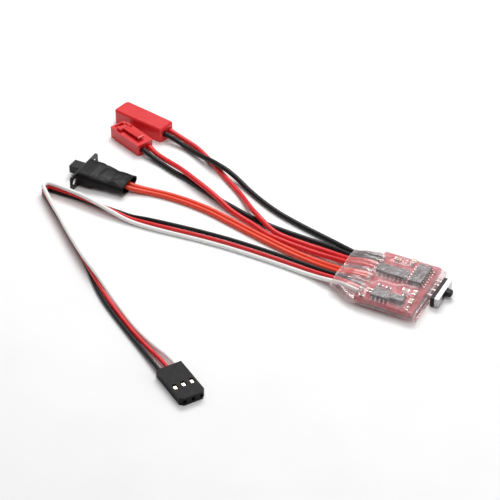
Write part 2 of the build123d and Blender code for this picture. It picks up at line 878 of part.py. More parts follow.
# ===========================================================================
# bent wires
# ===========================================================================
# longest straight run, sharpest bend in degrees: tried in this order
thinnings = [(9.0, 14.0), (8.3, 15.0), (9.7, 13.0), (7.7, 16.0), (10.4, 12.0), (7.1, 14.5),
             (11.0, 15.5), (6.4, 13.5), (8.6, 17.0), (9.3, 18.0), (6.0, 12.0), (12.0, 20.0)]
ribbon_thinnings = thinnings + [
    (8.0, 19.0), (9.0, 21.0), (7.4, 17.5), (10.0, 16.5), (6.8, 18.0), (11.5, 14.0),
    (8.8, 15.4), (9.4, 16.2), (7.9, 13.4), (10.8, 18.6), (12.5, 17.0), (6.2, 15.0)]


def bent_rod(path, radius):
    """A round rod along straight runs with mitred bends."""
    with BuildPart() as rod:
        with BuildLine() as route:
            Polyline(*path)
        with BuildSketch(Plane(origin=route.wire() @ 0, z_dir=route.wire() % 0)):
            Circle(radius)
        sweep(path=route.wire(), transition=Transition.RIGHT)
    return rod.part


def bent_tube(path, outer_r, inner_r):
    """The same with a bore: two skins closed by an annular face at each end."""
    outer, inner = bent_rod(path, outer_r), bent_rod(path, inner_r)
    inner_ends = inner.faces().filter_by(GeomType.PLANE)
    rings = []
    for end in outer.faces().filter_by(GeomType.PLANE):
        hole = inner_ends.sort_by_distance(end.center())[0]
        rings.append(Face(end.outer_wire(), [hole.outer_wire()]))
    skins = [face for face in outer.faces() + inner.faces() if face.geom_type != GeomType.PLANE]
    return Solid(Shell(skins + rings))


def require_sound(piece, path, outer_r, inner_r=0.0):
    """Raises unless a wire piece closed to the volume its path calls for."""
    wanted = pi * (outer_r ** 2 - inner_r ** 2) * path_length(path)
    if not (piece.is_valid and abs(piece.volume / wanted - 1) < 0.01):
        raise ValueError("unsound wire piece")


def skin_and_core(skin_path, core_path, wire):
    """Insulation and core of one stretch of wire."""
    outer_r, bore_r, core_r = wire.outer / 2, wire.bore / 2, wire.core / 2
    skin = bent_tube(skin_path, outer_r, bore_r)
    core = bent_rod(core_path, core_r)
    require_sound(skin, skin_path, outer_r, bore_r)
    require_sound(core, core_path, core_r)
    return skin, core


def first_sound(build, options):
    """What the builder makes with the first thinning that gives sound pieces."""
    for option in options:
        # guards against sweeps and shells that fail or close badly at some thinnings
        try:
            return build(*option)
        except Exception:
            continue
    raise ValueError("no thinning closes this wire")


def cut_lead(points, out_direction, core_in, skin_in, wire, bend):
    """One wire from its plug or switch to the board, cut at its bend joint.

    core_in and skin_in are how far the core and the insulation run straight
    back from the first point; bend is the joint's length along the path.
    Returns (skin, core) of the board side, then of the plug side."""
    start, out = Vector(*points[0]), Vector(*out_direction)
    dense = smooth([tuple(start), tuple(start + out * 0.8)] + points[1:])
    tip = (tip_x, *points[-1][1:])

    def build(longest, sharpest):
        run = coarse(stretch(dense, 0, path_length(dense)), longest, sharpest)
        far = tidy(stretch(run, bend + cut_gap, path_length(run)))
        near = tidy(stretch(run, 0, bend - cut_gap))
        core_near = [tuple(start - out * core_in)] + near
        skin_near = ([tuple(start - out * skin_in)] if skin_in > 0 else []) + near
        # a last run already in line with the tip is lengthened, not given another point
        in_line = all(abs(far[-1][i] - far[-2][i]) < 1e-6 for i in (1, 2))
        core_far = (far[:-1] if in_line else far) + [tip]
        return skin_and_core(far, core_far, wire), skin_and_core(skin_near, core_near, wire)

    return first_sound(build, thinnings)


# ----- battery and motor leads -----------------------------------------------
power_bend = 9.5        # bend joint, along the path from the plug
power_skin_in, power_core_in = 2.0, 4.2
tone_sides = {"red": -plug_pitch / 2, "black": plug_pitch / 2}

# x, y, z of each wire between its plug and its pad
power_routes = {
    ("battery", "black"): [
        (-92.8, 36.5, 1.9), (-88.4, 35.3, 1.2), (-84.2, 33.6, 1.25), (-80.2, 31.9, 1.85),
        (-76.2, 30.3, 2.5), (-72.4, 28.9, 2.72), (-68.6, 27.7, 2.4), (-64.2, 26.1, 1.4),
        (-59.6, 23.6, 0.86), (-53.4, 20.3, 0.83), (-46.6, 17.4, 0.83), (-39.4, 15.2, 0.83),
        (-32.0, 13.2, 0.9), (-26.0, 11.4, 1.25), (-20.6, 9.3, 2.0), (-16.6, 7.75, 2.75),
        (-12.2, 7.72, 3.92)],
    ("battery", "red"): [
        (-92.6, 38.9, 1.7), (-89.0, 38.3, 0.95), (-85.2, 36.8, 0.83), (-81.4, 34.6, 0.83),
        (-74.9, 30.3, 0.83), (-68.0, 25.5, 0.83), (-61.6, 21.0, 0.86), (-57.2, 17.1, 1.35),
        (-54.2, 14.1, 2.2), (-51.2, 11.6, 2.72), (-48.2, 9.75, 2.5), (-44.6, 8.3, 1.45),
        (-40.6, 7.6, 0.9), (-33.0, 7.1, 0.83), (-26.4, 6.5, 1.15), (-20.8, 5.3, 1.95),
        (-16.6, 4.32, 2.75), (-12.2, 4.1, 3.92)],
    ("motor", "black"): [
        (-94.4, 25.2, 1.35), (-90.4, 23.9, 0.9), (-85.6, 22.2, 0.83), (-79.6, 20.4, 0.83),
        (-73.0, 17.9, 0.83), (-66.0, 15.4, 0.83), (-60.2, 13.7, 0.83), (-54.4, 12.0, 0.83),
        (-49.0, 10.9, 0.83), (-42.6, 10.1, 0.83), (-34.0, 9.6, 0.85), (-26.6, 8.9, 1.15),
        (-20.8, 7.4, 1.95), (-16.6, 6.03, 2.75), (-12.2, 5.93, 3.92)],
    ("motor", "red"): [
        (-94.6, 27.3, 1.75), (-90.6, 25.7, 1.65), (-86.0, 23.75, 2.12), (-82.0, 21.95, 2.5),
        (-77.8, 19.9, 2.65), (-73.4, 17.8, 2.65), (-69.0, 15.75, 2.5), (-64.6, 13.7, 2.0),
        (-60.4, 11.95, 1.15), (-56.0, 10.4, 0.85), (-50.4, 8.55, 0.83), (-45.6, 6.6, 0.83),
        (-41.0, 5.75, 0.83), (-33.6, 4.95, 0.85), (-26.6, 4.3, 1.15), (-20.8, 3.4, 1.95),
        (-16.6, 2.6, 2.75), (-12.2, 2.25, 3.92)],
}


def power_lead(name, plug, tone):
    points = [plug.wire_exit(tone_sides[tone])] + power_routes[name, tone]
    points.append((pad_x, power_pads_y[name, tone], pad_height(power_wire)))
    out = tuple(-c for c in plug.heading)
    return cut_lead(points, out, power_core_in, power_skin_in, power_wire, power_bend)


def save_power_leads():
    for name, plug in (("battery", battery_plug), ("motor", motor_plug)):
        board_cores, plug_cores = [], []
        for tone in ("red", "black"):
            (skin, core), (end_skin, end_core) = power_lead(name, plug, tone)
            save(skin, f"{name}_wire_{tone}")
            save(end_skin, f"{name}_wire_{tone}_end")
            board_cores.append(core)
            plug_cores.append(end_core)
        save(gathered(board_cores), f"{name}_wire_cores")
        save(gathered(plug_cores), f"{name}_wire_core_ends")


# ----- switch leads: two wires side by side ----------------------------------
switch_bend = 17.3      # bend joint, along the path from the switch
# x, y, z of the centre path, and each wire's distance from it along Y
switch_route = [
    (switch_skin_x, switch_y + terminal_pitch / 2, switch_core_z, terminal_pitch / 2),
    (-96.6, 8.4, 2.75, 1.15), (-93.4, 7.95, 1.95, 0.95), (-90.0, 8.75, 1.2, 0.8),
    (-85.6, 9.7, 0.8, 0.76), (-80.0, 10.2, 0.74, 0.76), (-73.0, 10.0, 0.74, 0.76),
    (-65.4, 8.95, 0.74, 0.76), (-57.4, 7.05, 0.74, 0.76), (-49.2, 5.0, 0.74, 0.76),
    (-41.0, 3.1, 0.74, 0.76), (-33.0, 1.55, 0.76, 0.76), (-26.4, 0.35, 1.1, 0.76),
    (-20.8, -0.9, 1.9, 0.78), (-16.6, -1.75, 2.7, 0.78), (-12.2, -2.1, 3.85, 0.79)]


def switch_lead(side, pad_y):
    points = [(x, y + side * spread, z) for x, y, z, spread in switch_route]
    points.append((pad_x, pad_y, pad_height(switch_wire)))
    return cut_lead(points, (1, 0, 0), switch_core_reach, 0.0, switch_wire, switch_bend)


def save_switch_leads():
    leads = [switch_lead(side, pad_y) for side, pad_y in zip((1, -1), switch_pads_y)]
    for name, end, layer in (("switch_wires", 0, 0), ("switch_wire_ends", 1, 0),
                             ("switch_wire_cores", 0, 1), ("switch_wire_core_ends", 1, 1)):
        save(gathered(lead[end][layer] for lead in leads), name)


# ----- receiver lead: three-wire ribbon from the board to its plug -----------
# x, y, z of the centre path, roll in degrees, pitch between wires.
# roll 0: black lies to the right of the run; 90: black on top.
ribbon_to_fold = [
    (pad_x, servo_pads_y["red"], pad_height(servo_wire), 0, 1.5),
    (-12.2, -7.0, 3.75, 4, 1.38), (-16.6, -5.7, 2.75, 12, 1.3), (-21.6, -5.0, 2.05, 24, 1.3),
    (-27.0, -4.4, 1.6, 32, 1.3), (-35.0, -3.9, 1.45, 36, 1.3), (-44.0, -3.6, 1.45, 36, 1.3),
    (-53.0, -3.6, 1.45, 36, 1.3), (-62.0, -4.1, 1.45, 36, 1.3), (-71.0, -4.9, 1.45, 34, 1.3),
    (-79.0, -5.4, 1.25, 20, 1.3), (-85.0, -5.4, 0.95, -5, 1.3), (-90.5, -5.0, 1.3, -26, 1.3),
    (-96.0, -4.5, 1.66, -48, 1.3), (-101.5, -4.0, 1.88, -66, 1.3),
    (-107.0, -3.7, 1.96, -80, 1.3), (-111.5, -3.58, 1.98, -88, 1.3)]
ribbon_from_fold = [
    (-111.4, -9.1, 1.98, -98, 1.3), (-107.4, -12.4, 1.95, -104, 1.3),
    (-102.9, -16.0, 1.92, -108, 1.3), (-97.2, -20.9, 1.90, -110, 1.3),
    (-90.9, -26.2, 1.92, -106, 1.3), (-84.7, -31.4, 1.96, -92, 1.3),
    (-78.3, -36.6, 1.78, -58, 1.3), (-71.7, -41.6, 1.2, -24, 1.3), (-64.9, -46.3, 0.8, -6, 1.35),
    (-58.1, -50.7, 0.70, 0, 1.45), (-51.0, -54.9, 0.85, 0, 1.85), (-45.6, -57.9, 1.15, 0, 2.35),
    (*servo_plug.wire_exit(0), 0, servo_plug_pitch)]
fold_r = 1.4
fold_centre = (-114.1, -5.0)
fold_headings = (185, 215, 245, 270, 295, 316)      # run direction at each fold station
roll_step = 24.0        # most roll between stations, degrees
servo_core_in, servo_skin_in = 3.6, 1.8
servo_tones = {"black": 1, "red": 0, "white": -1}   # place across the ribbon


def fold_station(turn):
    """Ribbon station on the fold where it heads along the given angle."""
    angle = radians(turn - 90)
    return (fold_centre[0] + fold_r * cos(angle), fold_centre[1] + fold_r * sin(angle),
            1.98, -90, 1.3)


ribbon_curve = smooth(ribbon_to_fold + [fold_station(turn) for turn in fold_headings]
                      + ribbon_from_fold)
# the fold's tip, heading along -Y: the lead's bend joint
fold_index = (len(ribbon_to_fold) + fold_headings.index(270)) * curve_steps


def ribbon_point(k, side):
    """Point k of the wire that lies `side` pitches across the ribbon."""
    before = ribbon_curve[max(k - 1, 0)]
    after = ribbon_curve[min(k + 1, len(ribbon_curve) - 1)]
    right = Vector(after[1] - before[1], before[0] - after[0], 0).normalized()
    x, y, z, roll, pitch = ribbon_curve[k]
    offset_way = right * cos(radians(roll)) + Vector(0, 0, sin(radians(roll)))
    return tuple(Vector(x, y, z) + offset_way * (side * pitch))


def thin_stations(longest, sharpest):
    """Indices along the ribbon curve shared by its three wires."""
    keep, run, turned, rolled = [0], 0.0, 0.0, 0.0
    fold_tip = Vector(*ribbon_curve[fold_index][:3])
    for k in range(1, len(ribbon_curve) - 1):
        before, here, after = (Vector(*ribbon_curve[j][:3]) for j in (k - 1, k, k + 1))
        run += (here - before).length
        turned += (here - before).get_angle(after - here)
        rolled += abs(ribbon_curve[k][3] - ribbon_curve[k - 1][3])
        if k == fold_index or (run > 0.75 and (here - fold_tip).length > 0.7
                               and run / longest + turned / sharpest + rolled / roll_step >= 1):
            keep.append(k)
            run, turned, rolled = 0.0, 0.0, 0.0
    return keep + [len(ribbon_curve) - 1]


def ribbon_near(longest, sharpest):
    """(skin, core) of the three wires from the board to the fold."""
    made = {}
    stations = thin_stations(longest, sharpest)
    for tone, side in servo_tones.items():
        pad = (servo_pads_y[tone], pad_height(servo_wire))
        run = [ribbon_point(k, side) for k in stations if k <= fold_index]
        run[0] = (pad_x, *pad)
        skin = straightened(tidy(stretch(run, 0, path_length(run) - cut_gap), 0.6))
        made[tone] = skin_and_core(skin, [(tip_x, *pad)] + skin, servo_wire)
    return made


def ribbon_far(longest, sharpest):
    """(skin, core) of the three wires from the fold into the receiver plug."""
    made = {}
    stations = thin_stations(longest, sharpest)
    inward = Vector(*servo_plug.heading)
    for tone, side in servo_tones.items():
        run = [ribbon_point(k, side) for k in stations if k >= fold_index]
        cut = straightened(tidy(stretch(run, cut_gap, path_length(run)), 0.6))
        entry = Vector(*run[-1])
        made[tone] = skin_and_core(cut + [tuple(entry + inward * servo_skin_in)],
                                   cut + [tuple(entry + inward * servo_core_in)], servo_wire)
    return made


def save_servo_leads():
    for build, skin_suffix, core_name in ((ribbon_near, "", "servo_wire_cores"),
                                          (ribbon_far, "_end", "servo_wire_core_ends")):
        wires = first_sound(build, ribbon_thinnings)
        for tone, (skin, _) in wires.items():
            save(skin, f"servo_wire_{tone}{skin_suffix}")
        save(gathered(core for _, core in wires.values()), core_name)


# ----- solder mounds on the board, one per wire, around the bared core -------
mound_length = 1.25     # along X
mound_cover = 0.22      # solder above the core
mound_shoulder = (0.8, 0.55)    # profile's side point, as parts of half width and height
# y, wire, mound width
mounds = [(y, power_wire, 1.5) for y in power_pads_y.values()]
mounds += [(y, switch_wire, 1.25) for y in switch_pads_y]
mounds += [(y, servo_wire, 1.05) for y in servo_pads_y.values()]


def solder_joints():
    with BuildPart() as joints:
        for y, wire, width in mounds:
            height = pad_height(wire) + wire.core / 2 + mound_cover - board_top
            half = width / 2
            shoulder_y, shoulder_z = half * mound_shoulder[0], height * mound_shoulder[1]
            with BuildSketch(Plane(origin=(pad_x + 0.1, y, board_top),
                                   x_dir=(0, 1, 0), z_dir=(1, 0, 0))):
                with BuildLine():
                    Line((-half, 0), (half, 0))
                    Spline((half, 0), (shoulder_y, shoulder_z), (0, height),
                           (-shoulder_y, shoulder_z), (-half, 0))
                make_face()
            extrude(amount=mound_length)
        for y, wire, _ in mounds:
            with Locations(Location(((pad_x + tip_x) / 2, y, pad_height(wire)), (0, 90, 0))):
                Cylinder(wire.core / 2, tip_x - pad_x, mode=Mode.SUBTRACT)
    return joints.part


# ===========================================================================
# each piece is saved under its function's name; the leads save their own
# ===========================================================================
for make_piece in (
        circuit_board, microcontroller, microcontroller_leads, bridge_driver,
        bridge_driver_leads, power_mosfets, power_mosfet_leads, supply_regulator,
        supply_regulator_leads, chip_capacitors, chip_resistors, chip_terminations,
        status_led, heat_shrink_tube, solder_joints,
        selector_base, selector_shell, selector_actuator, selector_contact, selector_pins,
        switch_bracket, switch_base, switch_terminals, switch_slider, switch_contact,
        switch_solder, switch_sleeve,
        battery_plug_housing, battery_plug_contacts,
        motor_plug_housing, motor_plug_latch, motor_plug_contacts,
        servo_plug_housing, servo_plug_contacts):
    save(make_piece(), make_piece.__name__)

save_power_leads()
save_switch_leads()
save_servo_leads()
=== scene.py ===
"""Motor controller board with its wires, switch and plugs.

The board lies flat near the origin with its top facing +Z. Every lead leaves its pads towards -X;
the battery, motor and switch leads end near x = -100 mm, and the flat servo ribbon folds back at
x = -115.5 mm to its plug on the -Y side. Lengths are in millimetres unless a comment says metres.
"""
import math
import bpy
import numpy as np
from mathutils import Matrix, Vector, noise
from mathutils.bvhtree import BVHTree
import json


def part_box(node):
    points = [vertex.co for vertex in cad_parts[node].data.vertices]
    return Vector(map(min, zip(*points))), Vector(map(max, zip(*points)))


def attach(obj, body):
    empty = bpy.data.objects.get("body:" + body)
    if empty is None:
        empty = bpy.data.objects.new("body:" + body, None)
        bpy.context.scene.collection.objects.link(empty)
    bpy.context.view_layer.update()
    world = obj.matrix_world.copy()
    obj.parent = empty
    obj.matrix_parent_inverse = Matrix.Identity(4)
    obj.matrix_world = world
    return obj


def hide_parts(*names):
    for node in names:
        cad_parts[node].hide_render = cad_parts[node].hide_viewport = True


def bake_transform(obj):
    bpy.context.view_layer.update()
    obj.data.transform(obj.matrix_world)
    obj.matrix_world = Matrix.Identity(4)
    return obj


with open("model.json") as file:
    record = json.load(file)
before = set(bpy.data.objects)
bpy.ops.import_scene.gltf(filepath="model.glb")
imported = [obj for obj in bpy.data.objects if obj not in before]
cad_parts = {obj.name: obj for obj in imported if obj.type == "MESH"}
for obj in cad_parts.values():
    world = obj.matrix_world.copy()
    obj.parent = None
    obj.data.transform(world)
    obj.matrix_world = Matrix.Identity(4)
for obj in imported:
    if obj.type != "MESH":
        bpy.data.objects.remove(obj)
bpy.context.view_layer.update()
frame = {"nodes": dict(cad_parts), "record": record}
nodes = frame["nodes"]
scene = bpy.context.scene
MM = 0.001      # metres in a millimetre


# ---------------------------------------------------------------------------
# shader helpers: every texture is in object space, so its scales are per metre
# ---------------------------------------------------------------------------
def node(tree, kind, **values):
    """Add a node. A key naming an input (underscores for spaces) sets or links it."""
    new = tree.nodes.new(kind)
    for key, value in values.items():
        socket = key.replace("_", " ")
        if isinstance(value, bpy.types.NodeSocket):
            tree.links.new(value, new.inputs[socket])
        elif socket in new.inputs:
            new.inputs[socket].default_value = value
        else:
            setattr(new, key, value)
    return new


def new_material(name):
    """A material with an empty tree, and the object coordinates its textures use."""
    material = bpy.data.materials.new(name)
    material.use_nodes = True
    tree = material.node_tree
    tree.nodes.clear()
    return material, tree, node(tree, "ShaderNodeTexCoord").outputs["Object"]


def finish(tree, shader):
    node(tree, "ShaderNodeOutputMaterial", Surface=shader.outputs[0])


def mottle(tree, where, scale, detail, roughness=0.5):
    return node(tree, "ShaderNodeTexNoise", Vector=where, Scale=scale, Detail=detail,
                Roughness=roughness).outputs["Fac"]


def ramp(tree, value, low, high):
    """Colour ramp between two (position, colour) stops."""
    new = node(tree, "ShaderNodeValToRGB", Fac=value)
    for element, (position, colour) in zip(new.color_ramp.elements, (low, high)):
        element.position, element.color = position, (*colour, 1)
    return new.outputs["Color"]


def map_range(tree, value, **limits):
    return node(tree, "ShaderNodeMapRange", Value=value, **limits).outputs["Result"]


def bump(tree, height, strength, distance):
    """Bumped normal; distance is in metres."""
    return node(tree, "ShaderNodeBump", Height=height, Strength=strength,
                Distance=distance).outputs["Normal"]


def mix_shaders(tree, factor, first, second):
    mix = node(tree, "ShaderNodeMixShader")
    tree.links.new(factor, mix.inputs[0])
    tree.links.new(first.outputs[0], mix.inputs[1])
    tree.links.new(second.outputs[0], mix.inputs[2])
    return mix


# ---------------------------------------------------------------------------
# materials
# ---------------------------------------------------------------------------
ROUGHNESS_SPREAD = 0.12
DUST_COLOUR = (0.55, 0.53, 0.5, 1)


def plain(name, base, rough, metal=0.0, grain=900.0, tone=0.12, relief=0.25, fine=4200.0,
          spec=0.5, coat=0.0, dust=0.0):
    """Moulded or metal surface: mottled tone, uneven roughness, fine grain in the normal.

    grain and fine are the scales of the mottle and the relief; tone is how far the colour strays.
    """
    material, tree, where = new_material(name)
    coarse = mottle(tree, where, grain, 5.0, 0.6)
    fine_grain = mottle(tree, where, fine, 3.0)
    darker, lighter = (tuple(min(1.0, max(0.0, c * k)) for c in base) for k in (1 - tone, 1 + tone))
    colour = ramp(tree, coarse, (0.28, darker), (0.72, lighter))
    if dust:
        patches = mottle(tree, where, grain * 2.7, 6.0, 0.7)
        mask = map_range(tree, patches, From_Min=0.55, From_Max=0.8, To_Max=dust)
        colour = node(tree, "ShaderNodeMixRGB", Fac=mask, Color1=colour,
                      Color2=DUST_COLOUR).outputs[0]
    roughness = map_range(tree, coarse, To_Min=max(0.03, rough - ROUGHNESS_SPREAD),
                          To_Max=min(1.0, rough + ROUGHNESS_SPREAD))
    clearcoat = dict(Coat_Weight=coat, Coat_Roughness=0.12) if coat else {}
    finish(tree, node(tree, "ShaderNodeBsdfPrincipled", Base_Color=colour, Metallic=metal,
                      Roughness=roughness, Specular_IOR_Level=spec,
                      Normal=bump(tree, fine_grain, relief, 0.00006), **clearcoat))
    return material


def board_material():
    """Mottled red solder mask crossed by darker, raised lines."""
    material, tree, where = new_material("solder_mask_board")
    lines = node(tree, "ShaderNodeTexBrick", Vector=where, Scale=330.0, Mortar_Size=0.03,
                 Color1=(1, 1, 1, 1), Color2=(0.7, 0.7, 0.7, 1),
                 Mortar=(0, 0, 0, 1)).outputs["Fac"]
    red = ramp(tree, lines, (0.0, (0.68, 0.060, 0.085)), (1.0, (0.50, 0.032, 0.050)))
    tone = ramp(tree, mottle(tree, where, 700.0, 4.0),
                (0.3, (0.75, 0.75, 0.75)), (0.7, (1.0, 1.0, 1.0)))
    colour = node(tree, "ShaderNodeMixRGB", blend_type="MULTIPLY", Fac=0.5, Color1=red, Color2=tone)
    finish(tree, node(tree, "ShaderNodeBsdfPrincipled", Roughness=0.28,
                      Base_Color=colour.outputs[0], Normal=bump(tree, lines, 0.5, 0.00005)))
    return material


def film_material(name, tint, haze, lift=0.0):
    """Thin clear film: see-through, glossier where it turns away, with fine crinkles.

    haze is the share of milky scatter; lift adds gloss to the parts seen face on.
    """
    material, tree, where = new_material(name)
    broad = mottle(tree, where, 380.0, 4.0, 0.55)
    fine = mottle(tree, where, 1500.0, 2.0)
    crinkles = node(tree, "ShaderNodeMath", operation="MULTIPLY_ADD")
    tree.links.new(fine, crinkles.inputs[0])
    crinkles.inputs[1].default_value = 0.18     # share of the fine crinkles
    tree.links.new(broad, crinkles.inputs[2])
    normal = bump(tree, crinkles.outputs[0], 0.22, 0.0002)
    clear = node(tree, "ShaderNodeBsdfTransparent", Color=(*tint, 1))
    gloss = node(tree, "ShaderNodeBsdfGlossy", Roughness=0.21, Color=(1, 1, 1, 1), Normal=normal)
    milk = node(tree, "ShaderNodeBsdfDiffuse", Color=(0.97, 0.85, 0.875, 1))
    facing = node(tree, "ShaderNodeLayerWeight", Blend=0.32, Normal=normal).outputs["Fresnel"]
    gloss_share = map_range(tree, facing, To_Min=0.02 + lift, To_Max=0.50)
    milk_share = map_range(tree, broad, From_Min=0.35, From_Max=0.75,
                           To_Min=haze * 0.55, To_Max=haze * 1.5)
    body = mix_shaders(tree, milk_share, clear, milk)
    finish(tree, mix_shaders(tree, gloss_share, body, gloss))
    return material


INSULATION = dict(grain=420, relief=0.3, fine=2600)
SURFACES = {
    "chip_package": dict(base=(0.020, 0.020, 0.022), rough=0.5, grain=1800, tone=0.25, relief=0.5,
                         fine=9000, dust=0.1),
    "tinned_leads": dict(base=(0.80, 0.79, 0.76), rough=0.28, metal=1.0, grain=2600, relief=0.3),
    "capacitor_ceramic": dict(base=(0.50, 0.36, 0.22), rough=0.45, grain=2500, tone=0.18,
                              relief=0.4, fine=9000),
    "resistor_body": dict(base=(0.03, 0.03, 0.035), rough=0.35, grain=2500, tone=0.3),
    "solder": dict(base=(0.86, 0.85, 0.83), rough=0.16, metal=1.0, grain=1500, tone=0.1,
                   relief=0.5, fine=2600),
    "led_lens": dict(base=(0.90, 0.84, 0.58), rough=0.2, grain=2000, tone=0.06, coat=0.6),
    "red_insulation": dict(base=(0.72, 0.016, 0.020), rough=0.38, tone=0.07, **INSULATION),
    "black_insulation": dict(base=(0.008, 0.008, 0.009), rough=0.40, tone=0.2, spec=0.28,
                             **INSULATION),
    "orange_red_insulation": dict(base=(0.80, 0.055, 0.020), rough=0.38, tone=0.07, **INSULATION),
    "white_insulation": dict(base=(0.88, 0.88, 0.865), rough=0.42, tone=0.05, **INSULATION),
    "copper_core": dict(base=(0.80, 0.62, 0.48), rough=0.28, metal=1.0, grain=2500, tone=0.15),
    "switch_plastic": dict(base=(0.012, 0.012, 0.013), rough=0.5, grain=1300, tone=0.25,
                           relief=0.4, dust=0.04, spec=0.3),
    "switch_metal": dict(base=(0.018, 0.018, 0.020), rough=0.38, grain=900, tone=0.3, relief=0.35,
                         fine=3000, coat=0.1, dust=0.05, spec=0.35),
    "bright_shell": dict(base=(0.52, 0.52, 0.53), rough=0.36, metal=0.9, grain=1500, tone=0.10,
                         relief=0.35, fine=5200),
    "contact_metal": dict(base=(0.76, 0.69, 0.54), rough=0.25, metal=1.0, grain=2000),
    "black_sleeve": dict(base=(0.006, 0.006, 0.0065), rough=0.46, grain=700, tone=0.3, relief=0.5,
                         fine=1500, spec=0.2),
    "red_plug": dict(base=(0.68, 0.012, 0.016), rough=0.38, grain=500, tone=0.05, relief=0.16,
                     fine=5200, coat=0.12),
    "black_plug": dict(base=(0.006, 0.006, 0.007), rough=0.52, grain=900, tone=0.25, relief=0.45,
                       fine=6200, dust=0.02, spec=0.18),
}
MATERIALS = {"solder_mask_board": board_material()}
MATERIALS.update((name, plain(name, **look)) for name, look in SURFACES.items())
MATERIALS["clear_film"] = film_material("clear_film", tint=(0.985, 0.93, 0.925), haze=0.19)

# ---------------------------------------------------------------------------
# CAD pieces: materials and softened edges
# ---------------------------------------------------------------------------
UNBEVELLED = ("heat_shrink_tube", "solder_joints", "switch_sleeve")
WIDE_BEVEL = ("switch_bracket", "motor_plug_latch", "switch_slider", "selector_base",
              "selector_shell")
slot_of = {s["node"]: s["material_slot"] for s in frame["record"]["subparts"]}


def dress(name, piece):
    piece.data.materials.clear()
    piece.data.materials.append(MATERIALS[slot_of[name]])
    if "wire" in name or name in UNBEVELLED:
        return
    bevel = piece.modifiers.new("edges", "BEVEL")
    wide = "plug_housing" in name or name in WIDE_BEVEL
    bevel.width = 0.00012 if wide else 0.00004     # metres
    bevel.segments = 2
    bevel.limit_method = "ANGLE"
    bevel.angle_limit = math.radians(40)
    bevel.use_clamp_overlap = True


for name, piece in nodes.items():
    dress(name, piece)


# ---------------------------------------------------------------------------
# shape helpers
# ---------------------------------------------------------------------------
def clamp(t):
    return min(1.0, max(0.0, t))


def smooth(t):
    return t * t * (3 - 2 * t)


def wave(x, y, z):
    return noise.noise(Vector((x, y, z)))


def heading(degrees):
    """Unit vector in the floor plane, turned from +X."""
    return Vector((math.cos(math.radians(degrees)), math.sin(math.radians(degrees)), 0))


def mesh_object(name, verts, faces, materials, face_materials=None, smooth_faces=True):
    """Link a mesh whose vertices are in metres."""
    mesh = bpy.data.meshes.new(name)
    mesh.from_pydata([tuple(v) for v in verts], [], faces)
    for material in materials:
        mesh.materials.append(material)
    if face_materials:
        for face, index in zip(mesh.polygons, face_materials):
            face.material_index = index
    for face in mesh.polygons:
        face.use_smooth = smooth_faces
    mesh.update()
    made = bpy.data.objects.new(name, mesh)
    scene.collection.objects.link(made)
    return made


def band(start, rings, sides, closed=False, flip=False):
    """Quads joining consecutive rings of vertices; closed also joins the last to the first."""
    quads = []
    for i in range(rings if closed else rings - 1):
        here, there = start + i * sides, start + (i + 1) % rings * sides
        for k in range(sides):
            k2 = (k + 1) % sides
            quad = (here + k, here + k2, there + k2, there + k)
            quads.append(quad[:1] + quad[:0:-1] if flip else quad)
    return quads


def fan(centre, start, sides, flip=False):
    """Triangles from a centre vertex to a ring."""
    pairs = [(start + k, start + (k + 1) % sides) for k in range(sides)]
    return [(centre, b, a) if flip else (centre, a, b) for a, b in pairs]


def catmull(points, per=14):
    """Catmull-Rom curve through the points, any number of columns, per steps a span."""
    pts = [points[0]] + list(points) + [points[-1]]
    curve = []
    for i in range(1, len(pts) - 2):
        p0, p1, p2, p3 = pts[i - 1:i + 3]
        for k in range(per):
            t = k / per
            curve.append(tuple(
                0.5 * (2 * p1[d] + (p2[d] - p0[d]) * t
                       + (2 * p0[d] - 5 * p1[d] + 4 * p2[d] - p3[d]) * t * t
                       + (3 * p1[d] - p0[d] - 3 * p2[d] + p3[d]) * t ** 3)
                for d in range(len(p1))))
    curve.append(tuple(points[-1]))
    return curve


def resample(path, step):
    """Evenly spaced points along a dense path."""
    even, carry = [Vector(path[0])], 0.0
    for a, b in zip(path, path[1:]):
        a, b = Vector(a), Vector(b)
        left = (b - a).length
        while carry + left >= step and left > 1e-9:
            a = a.lerp(b, (step - carry) / left)
            even.append(a.copy())
            left = (b - a).length
            carry = 0.0
        carry += left
    end = Vector(path[-1])
    if (even[-1] - end).length > step * 0.3:
        even.append(end)
    else:
        even[-1] = end
    return even


# ---------------------------------------------------------------------------
# wire dimensions and routes
# ---------------------------------------------------------------------------
PAD_X, TIP_X = -8.4, -7.3       # end of the insulation, end of the bared core
BARE_LENGTH = TIP_X - PAD_X
BOARD_TOP = 3.350
POWER_RADIUS, POWER_CORE = 0.8, 0.43
SWITCH_RADIUS, SWITCH_CORE = 0.72, 0.36
SERVO_RADIUS, SERVO_CORE = 0.62, 0.28
SERVO_PADS = {"black": -6.4, "red": -7.9, "white": -9.4}    # y of each pad
SERVO_Z = 4.000
BATTERY_OUT, MOTOR_OUT, SERVO_OUT = heading(-11.0), heading(-22.0), heading(-33.0)

